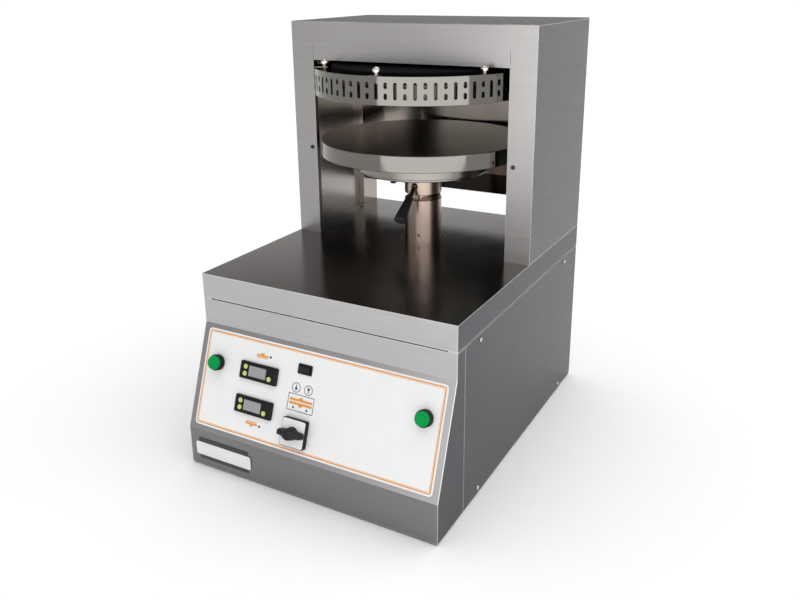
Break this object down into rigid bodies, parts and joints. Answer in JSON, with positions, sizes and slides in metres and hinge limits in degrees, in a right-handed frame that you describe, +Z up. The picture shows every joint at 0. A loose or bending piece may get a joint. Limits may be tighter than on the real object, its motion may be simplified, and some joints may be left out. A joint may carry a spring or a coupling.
{
  "type": "dough press",
  "caption": "Countertop heated dough press with a folded steel cabinet, slanted control panel, portal head, guarded fixed upper plate and lifting lower plate.",
  "frame": {"origin": "on the floor, under the middle of the outline", "axes": "+Z up, +X to the right of someone who faces the control panel, front towards -Y"},
  "size_m": [0.5544, 0.7586, 0.842],
  "materials": {
    "brushed_stainless": "brushed stainless sheet",
    "mirror_stainless": "mirror-polished stainless sheet",
    "turned_steel": "ground and turned steel",
    "bright_steel": "polished bright steel",
    "plate_alloy": "polished plate with a dark work face",
    "black_enamel": "insulated cover with a black skin",
    "grey_paint": "grey primer on steel",
    "cast_housing": "cast alloy",
    "bronze": "bearing bronze",
    "heater": "oxidised heating ring",
    "black_plastic": "black moulded plastic",
    "gloss_black": "glossy black bezel",
    "white_plastic": "white printed film and plate",
    "display": "grey display window",
    "green_plastic": "green button cap",
    "key_plastic": "yellow-green key",
    "black_rubber": "black rubber"
  },
  "bodies": {
    "casing": {"feet": "black_rubber", "base_plate": "brushed_stainless", "front_panel": "brushed_stainless", "side_panel_left": "brushed_stainless", "side_panel_right": "brushed_stainless", "rear_panel": "brushed_stainless", "casing_screws": "bright_steel", "worktop": "mirror_stainless", "frame_posts": "grey_paint", "bridge_plate": "grey_paint", "guide_housing": "cast_housing", "guide_bush": "bronze", "gearmotor": "cast_housing", "screw_bearing": "turned_steel", "control_box": "white_plastic", "contactor": "black_plastic", "cord_gland": "black_plastic", "head_front": "brushed_stainless", "head_side_left": "brushed_stainless", "head_side_right": "brushed_stainless", "head_top": "brushed_stainless", "rear_cover": "brushed_stainless", "rear_liner": "brushed_stainless", "rear_posts": "brushed_stainless", "upper_bridge": "grey_paint", "hanger_rods": "turned_steel", "upper_cover": "black_enamel", "upper_heater": "heater", "upper_plate": "plate_alloy", "lifting_studs": "turned_steel", "cap_nuts": "bright_steel", "overlay": "white_plastic", "badge_plate": "black_plastic", "badge_bar": "white_plastic", "button_barrels": "black_plastic", "thermostats": "gloss_black", "thermostat_displays": "display", "rocker_frame": "black_plastic", "switch_base": "black_plastic", "switch_face": "white_plastic"},
    "ram": {"column": "turned_steel", "screw_nut": "bronze", "carrier": "plate_alloy", "lower_heater": "heater", "lower_plate": "plate_alloy", "carrier_bolts": "bright_steel"},
    "lead_screw": {"lead_screw": "turned_steel"},
    "guard_ring": {"guard_ring": "bright_steel"},
    "thickness_lever": {"adjusting_collar": "turned_steel", "lever_grip": "black_rubber"},
    "start_button_left": {"start_button_left": "green_plastic"},
    "start_button_right": {"start_button_right": "green_plastic"},
    "rocker": {"rocker": "black_plastic"},
    "switch_knob": {"switch_knob": "black_plastic"},
    "upper_key_plus": {"upper_key_plus": "key_plastic"},
    "upper_key_minus": {"upper_key_minus": "key_plastic"},
    "upper_key_set": {"upper_key_set": "key_plastic"},
    "lower_key_plus": {"lower_key_plus": "key_plastic"},
    "lower_key_minus": {"lower_key_minus": "key_plastic"},
    "lower_key_set": {"lower_key_set": "key_plastic"}
  },
  "joints": [
    {"name": "ram_lift", "type": "slide", "parent": "casing", "child": "ram", "axis": [0, 0, 1], "range_m": [0, 0.1]},
    {"name": "screw_turn", "type": "hinge", "parent": "casing", "child": "lead_screw", "pos_m": [0, 0.11933, 0.2], "axis": [0, 0, 1], "range_deg": [-1, 1441]},
    {"name": "ring_lift", "type": "slide", "parent": "casing", "child": "guard_ring", "axis": [0, 0, 1], "range_m": [0, 0.005]},
    {"name": "lever_turn", "type": "hinge", "parent": "ram", "child": "thickness_lever", "pos_m": [0, 0.11933, 0.484], "axis": [0, 0, 1], "range_deg": [-50, 50]},
    {"name": "start_left_press", "type": "slide", "parent": "casing", "child": "start_button_left", "axis": [0, 0.9398, -0.3417], "range_m": [0, 0.004], "stiffness_N_per_m": 500},
    {"name": "start_right_press", "type": "slide", "parent": "casing", "child": "start_button_right", "axis": [0, 0.9398, -0.3417], "range_m": [0, 0.004], "stiffness_N_per_m": 500},
    {"name": "rocker_tilt", "type": "hinge", "parent": "casing", "child": "rocker", "pos_m": [-0.026, -0.30484, 0.23731], "axis": [0, 0.3417, 0.9398], "range_deg": [-7, 7], "stiffness_Nm_per_rad": 0.05},
    {"name": "main_switch_turn", "type": "hinge", "parent": "casing", "child": "switch_knob", "pos_m": [-0.026, -0.34564, 0.1251], "axis": [0, 0.9398, -0.3417], "range_deg": [0, 90]},
    {"name": "upper_key_plus_press", "type": "slide", "parent": "casing", "child": "upper_key_plus", "axis": [0, 0.9398, -0.3417], "range_m": [0, 0.0008], "stiffness_N_per_m": 300},
    {"name": "upper_key_minus_press", "type": "slide", "parent": "casing", "child": "upper_key_minus", "axis": [0, 0.9398, -0.3417], "range_m": [0, 0.0008], "stiffness_N_per_m": 300},
    {"name": "upper_key_set_press", "type": "slide", "parent": "casing", "child": "upper_key_set", "axis": [0, 0.9398, -0.3417], "range_m": [0, 0.0008], "stiffness_N_per_m": 300},
    {"name": "lower_key_plus_press", "type": "slide", "parent": "casing", "child": "lower_key_plus", "axis": [0, 0.9398, -0.3417], "range_m": [0, 0.0008], "stiffness_N_per_m": 300},
    {"name": "lower_key_minus_press", "type": "slide", "parent": "casing", "child": "lower_key_minus", "axis": [0, 0.9398, -0.3417], "range_m": [0, 0.0008], "stiffness_N_per_m": 300},
    {"name": "lower_key_set_press", "type": "slide", "parent": "casing", "child": "lower_key_set", "axis": [0, 0.9398, -0.3417], "range_m": [0, 0.0008], "stiffness_N_per_m": 300}
  ],
  "couplings": [
    {"joint": "screw_turn", "follows": "ram_lift", "rad_per_m": 251.33}
  ]
}
